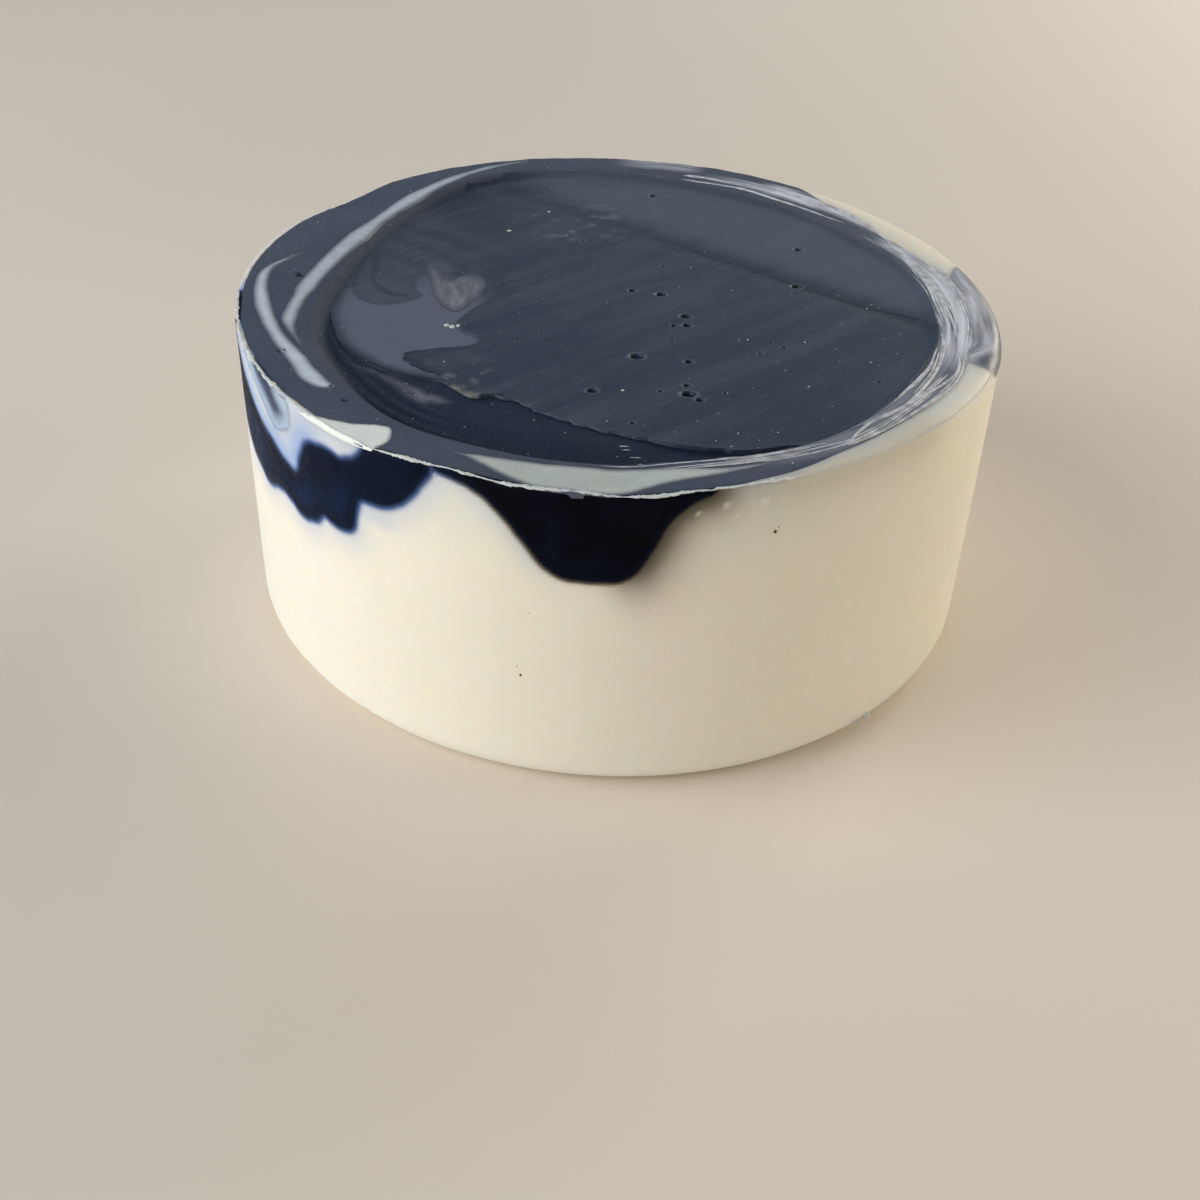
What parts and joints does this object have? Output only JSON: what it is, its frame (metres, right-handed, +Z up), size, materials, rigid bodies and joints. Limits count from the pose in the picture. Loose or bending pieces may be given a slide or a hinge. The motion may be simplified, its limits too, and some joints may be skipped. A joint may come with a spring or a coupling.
{
  "type": "shaving soap puck",
  "caption": "Round flat-bottomed shaving soap puck: ivory soap with a trowelled charcoal layer let into its top.",
  "frame": {"origin": "centre of the flat bottom that the puck rests on", "axes": "+Z up through the puck, -Y towards the side with the longest charcoal run, +X to the right of it"},
  "size_m": [0.076, 0.076, 0.0323],
  "materials": {
    "ivory_soap": "smooth satin, slightly translucent soap",
    "charcoal_soap": "fine-grained matte charcoal soap",
    "trowelled_skin": "satin with fine drag lines and pinholes",
    "charcoal_run": "smooth, soft-edged, near black",
    "charcoal_stain": "blue-grey, seen through ivory soap",
    "pale_smear": "pale grey smeared soap",
    "white_flash": "ragged, crystalline soap edge"
  },
  "bodies": {
    "root": {"ivory_base": "ivory_soap", "front_ivory_wedge": "ivory_soap", "left_ivory_wedge": "ivory_soap", "charcoal_layer": "charcoal_soap", "right_rim_patch": "charcoal_soap", "near_skin": "trowelled_skin", "far_skin": "trowelled_skin", "satin_skin": "trowelled_skin", "front_run": "charcoal_run", "left_run": "charcoal_run", "left_stain": "charcoal_stain", "inner_ribbon": "pale_smear", "outer_ribbon": "pale_smear", "strand_outer": "pale_smear", "strand_inner": "pale_smear", "strand_back": "pale_smear", "heart_smear": "pale_smear", "edge_flake": "pale_smear", "rim_flash": "white_flash"}
  },
  "joints": []
}
